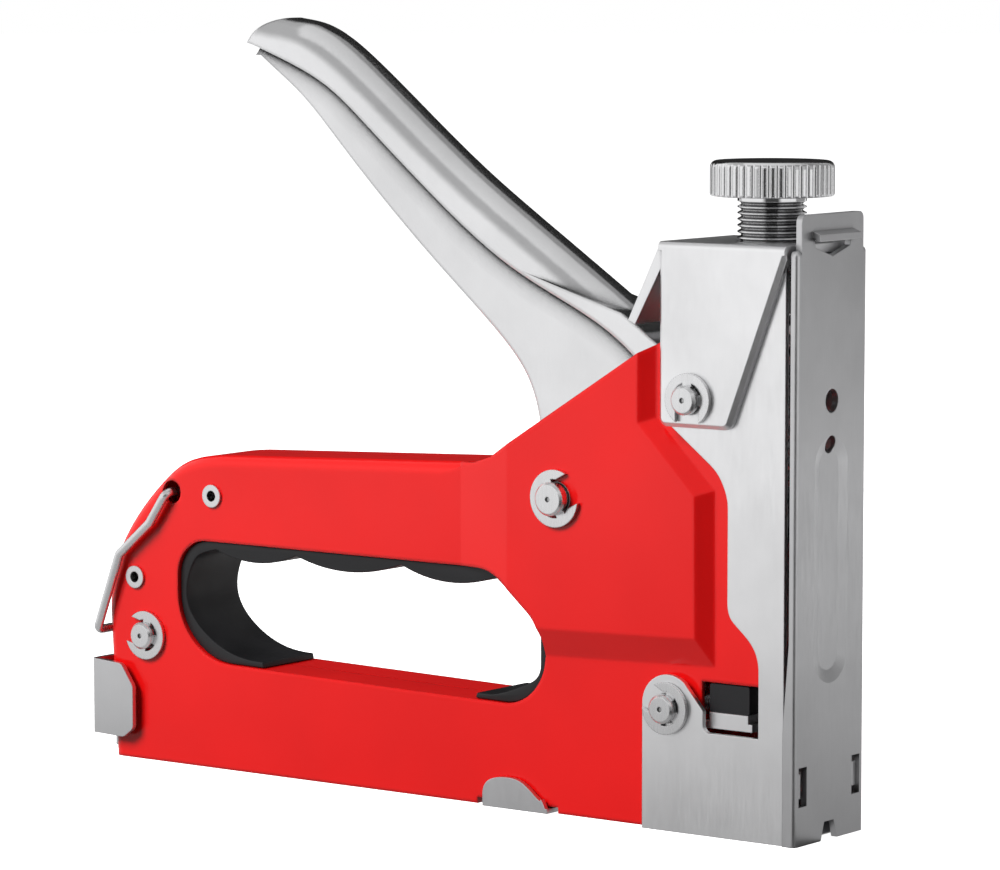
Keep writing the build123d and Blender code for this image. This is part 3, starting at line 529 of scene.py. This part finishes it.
class STAPLEGUN_OT_lever(bpy.types.Operator):
    """Polish the squeeze lever"""

    bl_idname = "staplegun.lever"
    bl_label = "Lever"

    def execute(self, context):
        look = context.scene.staple_gun.adjuster
        # Painted shade: the lever is darkened almost to black in each inner corner, drawing the dark line
        # under its crown.
        polished = metal(
            "Polished lever", look.chrome, roughness=0.14, grain_depth=0.02, edge=1.2 * MM,
            painted_shade_depth=0.02, reach=5.0 * MM, span=(0.88, 0.96),
        )
        coat(polished, "lever_shell")
        return {"FINISHED"}


class STAPLEGUN_OT_rubber(bpy.types.Operator):
    """Mould the grip lining and the bumper"""

    bl_idname = "staplegun.rubber"
    bl_label = "Rubber"

    def execute(self, context):
        look = context.scene.staple_gun.rubber
        black = finish_material(
            "Black rubber",
            shared_group("Moulded rubber", rubber_group),
            {"Color": (*look.black, 1), "Roughness": look.roughness},
            {"Specular IOR Level": 0.45},
        )
        coat(black, "grip_insert", "bumper")
        softened_copy("grip_insert", "body", black, look.round_over, look.rounds)
        return {"FINISHED"}


# --- Studio -----------------------------------------------------------------------------------
CAMERA_PLACE = (0.49815, -0.78119, 0.17507)
CAMERA_TURN = (math.radians(84.26), 0.0, math.radians(36.55))
CAMERA_LENS = 166.25
CAMERA_SENSOR = 36.0
CAMERA_SIGHT = (0.01, 60.0)
CAMERA_BEARING = (0.537, -0.843, 0.0)
CAMERA_CONE = (0.84, 0.94)

MIDDLE = (-0.09, 0.0, 0.08)
KEY_PLACE = (-0.50, -0.95, 0.80)
TOP_PLACE = (-0.1, 0.1, 1.25)
RIM_PLACE = (0.10, 1.10, 0.65)
LAMP_WIDTH = 0.6
TOP_WIDTH = 1.1

FLOOR_RADIUS = 12.0
FLOOR_GAP = 0.02 * MM
PAPER_OFF_CAMERA = (0.02, 0.02, 0.02, 1)
WHITE = (1, 1, 1, 1)

ROOF_SPAN = (0.55, 0.75)
ROOF_DIM = 0.5
WALL_BEARING = (0.6, 0.8, 0.0)
WALL_SPAN = (-0.2, 0.75)
WALL_DIM = 0.45


def soft_light(name, power, place, width, mirrored=True):
    """A square area light aimed at the staple gun's middle."""
    bpy.ops.object.light_add(type="AREA", location=place)
    lamp = bpy.context.object
    lamp.name = name
    lamp.data.energy = power
    lamp.data.shape = "SQUARE"
    lamp.data.size = width
    lamp.rotation_euler = (Vector(MIDDLE) - Vector(place)).to_track_quat("-Z", "Y").to_euler()
    lamp.visible_glossy = mirrored


def plain_colour(tree, tint):
    """A colour as a socket."""
    node = tree.nodes.new("ShaderNodeRGB")
    node.outputs[0].default_value = tint
    return node.outputs[0]


def towards(tree, bearing, direction):
    """How far a bearing leans towards this direction."""
    node = tree.nodes.new("ShaderNodeVectorMath")
    node.operation = "DOT_PRODUCT"
    node.inputs[1].default_value = direction
    tree.links.new(bearing, node.inputs[0])
    return node.outputs["Value"]


def room(tree, bearing, look):
    """A factor that dims whatever lies on the camera's side."""
    lean = towards(tree, bearing, CAMERA_BEARING)
    return remap(tree, lean, span=CAMERA_CONE, to=(1.0, look.camera_side))


def by_ray(tree, ray, mirrored, dull, eye):
    """One brightness for mirrored rays, one for dull surfaces and one for the camera."""
    glow = remap(tree, ray.outputs["Is Diffuse Ray"], to=(mirrored, dull))
    return remap(tree, ray.outputs["Is Camera Ray"], to=(glow, eye))


class STAPLEGUN_OT_studio(bpy.types.Operator):
    """Lay the floor, hang the lights and set the camera"""

    bl_idname = "staplegun.studio"
    bl_label = "Studio"

    def execute(self, context):
        look = context.scene.staple_gun.studio
        bpy.ops.object.select_all(action="DESELECT")
        bpy.ops.mesh.primitive_circle_add(
            vertices=64, radius=FLOOR_RADIUS, fill_type="NGON", location=(0, 0, -FLOOR_GAP)
        )
        floor = context.object
        floor.name = "floor"
        bpy.ops.object.transform_apply(location=True, rotation=True, scale=True)
        floor.data.materials.append(self.paper(look))
        self.surround(context, look)
        soft_light("key", look.key, KEY_PLACE, LAMP_WIDTH, mirrored=False)
        soft_light("top", look.top, TOP_PLACE, TOP_WIDTH)
        soft_light("rim", look.rim, RIM_PLACE, LAMP_WIDTH, mirrored=False)
        # Painted reflections: a near-black card behind and a grey card to the side, seen only in glossy
        # surfaces.
        self.card("back card", foot=(-0.55, 0.62), away=(-0.593, 0.799), width=1.1, height=0.9, grey=0.02)
        self.card("side card", foot=(0.42, 0.66), away=(0.593, 0.799), width=0.8, height=0.8, grey=0.30)
        self.camera(context)
        context.scene.view_settings.view_transform = "Standard"
        return {"FINISHED"}

    def paper(self, look):
        """Pale paper: white to the eye; where polished metal mirrors it, a painted glow, dim nearby as a
        painted shadow and on the camera's side as painted shade.
        """
        paper = bpy.data.materials.new("Pale paper")
        paper.use_nodes = True
        tree = paper.node_tree
        shader = tree.nodes["Principled BSDF"]
        shader.inputs["Roughness"].default_value = 0.9
        shader.inputs["Specular IOR Level"].default_value = 0.0
        shader.inputs["Emission Color"].default_value = WHITE
        place = stretched(tree)
        away = tree.nodes.new("ShaderNodeVectorMath")
        away.operation = "LENGTH"
        tree.links.new(place, away.inputs[0])
        bearing = tree.nodes.new("ShaderNodeVectorMath")
        bearing.operation = "NORMALIZE"
        tree.links.new(place, bearing.inputs[0])
        fade = (look.fade_from, look.fade_to)
        # Painted shadow: the mirrored glow is dim near the staple gun and on the camera's side.
        painted_floor_shadow = remap(tree, away.outputs["Value"], span=fade, to=(look.near, look.far))
        mirrored = maths(tree, "MULTIPLY", painted_floor_shadow, room(tree, bearing.outputs["Vector"], look))
        ray = tree.nodes.new("ShaderNodeLightPath")
        glow = by_ray(tree, ray, mirrored, dull=look.bounce, eye=look.glow)
        tree.links.new(glow, shader.inputs["Emission Strength"])
        # Off camera the paper is dark, so other surfaces get only its painted glow.
        dark, pale = plain_colour(tree, PAPER_OFF_CAMERA), plain_colour(tree, (*look.floor, 1))
        tint = mix_colour(tree, ray.outputs["Is Camera Ray"], dark, pale)
        tree.links.new(tint, shader.inputs["Base Color"])
        return paper

    def surround(self, context, look):
        """A pale surround, dim on one side and behind the camera, soft on dull surfaces."""
        world = bpy.data.worlds.new("Pale surround")
        context.scene.world = world
        world.use_nodes = True
        tree = world.node_tree
        bearing = tree.nodes.new("ShaderNodeTexCoord").outputs["Generated"]
        parts = tree.nodes.new("ShaderNodeSeparateXYZ")
        tree.links.new(bearing, parts.inputs["Vector"])
        roof = remap(tree, parts.outputs["Z"], span=ROOF_SPAN, to=(1.0, ROOF_DIM))
        wall = remap(tree, towards(tree, bearing, WALL_BEARING), span=WALL_SPAN, to=(1.0, WALL_DIM))
        shell = maths(tree, "MULTIPLY", roof, wall)
        mirrored = maths(tree, "MULTIPLY", shell, room(tree, bearing, look))
        ray = tree.nodes.new("ShaderNodeLightPath")
        glow = by_ray(tree, ray, mirrored, dull=look.ambient, eye=1.0)
        background = tree.nodes["Background"]
        background.inputs["Color"].default_value = WHITE
        tree.links.new(remap(tree, glow, to=(0.0, look.sky)), background.inputs["Strength"])

    def card(self, name, foot, away, width, height, grey):
        """An upright card that only shows in reflections: a painted reflection glowing this grey."""
        bpy.ops.mesh.primitive_plane_add(size=1.0, location=(*foot, height / 2))
        card = bpy.context.object
        card.name = name.replace(" ", "_")
        card.scale = (width, height, 1)
        card.rotation_euler = (math.radians(90), 0, math.atan2(away[1], away[0]) - math.radians(90))
        bpy.ops.object.transform_apply(location=True, rotation=True, scale=True)
        shade = bpy.data.materials.new(name)
        shade.use_nodes = True
        shader = shade.node_tree.nodes["Principled BSDF"]
        shader.inputs["Base Color"].default_value = (0, 0, 0, 1)
        shader.inputs["Specular IOR Level"].default_value = 0.0
        shader.inputs["Emission Color"].default_value = WHITE
        shader.inputs["Emission Strength"].default_value = grey
        card.data.materials.append(shade)
        card.visible_camera = False
        card.visible_diffuse = False
        card.visible_shadow = False

    def camera(self, context):
        """The camera, on the nose side and a little above."""
        bpy.ops.object.camera_add(location=CAMERA_PLACE, rotation=CAMERA_TURN)
        camera = context.object
        camera.data.sensor_width = CAMERA_SENSOR
        camera.data.lens = CAMERA_LENS
        camera.data.clip_start, camera.data.clip_end = CAMERA_SIGHT
        context.scene.camera = camera


# --- Panel and registration -------------------------------------------------------------------
class STAPLEGUN_PT_panel(bpy.types.Panel):
    """Sidebar panel with the staple gun's operators"""

    bl_label = "Staple Gun"
    bl_space_type = "VIEW_3D"
    bl_region_type = "UI"
    bl_category = "Staple Gun"

    def draw(self, context):
        for operator in OPERATORS:
            self.layout.operator(operator.bl_idname)


SETTINGS = (
    EnamelSettings,
    SteelSettings,
    AdjusterSettings,
    RubberSettings,
    StudioSettings,
    StapleGunSettings,
)
OPERATORS = (
    STAPLEGUN_OT_enamel,
    STAPLEGUN_OT_steelwork,
    STAPLEGUN_OT_turned_parts,
    STAPLEGUN_OT_inner_parts,
    STAPLEGUN_OT_adjuster,
    STAPLEGUN_OT_lever,
    STAPLEGUN_OT_rubber,
    STAPLEGUN_OT_studio,
)


def register():
    for cls in (*SETTINGS, *OPERATORS, STAPLEGUN_PT_panel):
        bpy.utils.register_class(cls)
    bpy.types.Scene.staple_gun = PointerProperty(type=StapleGunSettings)


def unregister():
    del bpy.types.Scene.staple_gun
    for cls in reversed((*SETTINGS, *OPERATORS, STAPLEGUN_PT_panel)):
        bpy.utils.unregister_class(cls)


def main():
    """Finish every piece, then the studio."""
    register()
    bpy.ops.staplegun.enamel()
    bpy.ops.staplegun.steelwork()
    bpy.ops.staplegun.turned_parts()
    bpy.ops.staplegun.inner_parts()
    bpy.ops.staplegun.adjuster()
    bpy.ops.staplegun.lever()
    bpy.ops.staplegun.rubber()
    bpy.ops.staplegun.studio()


if __name__ == "__main__":
    main()
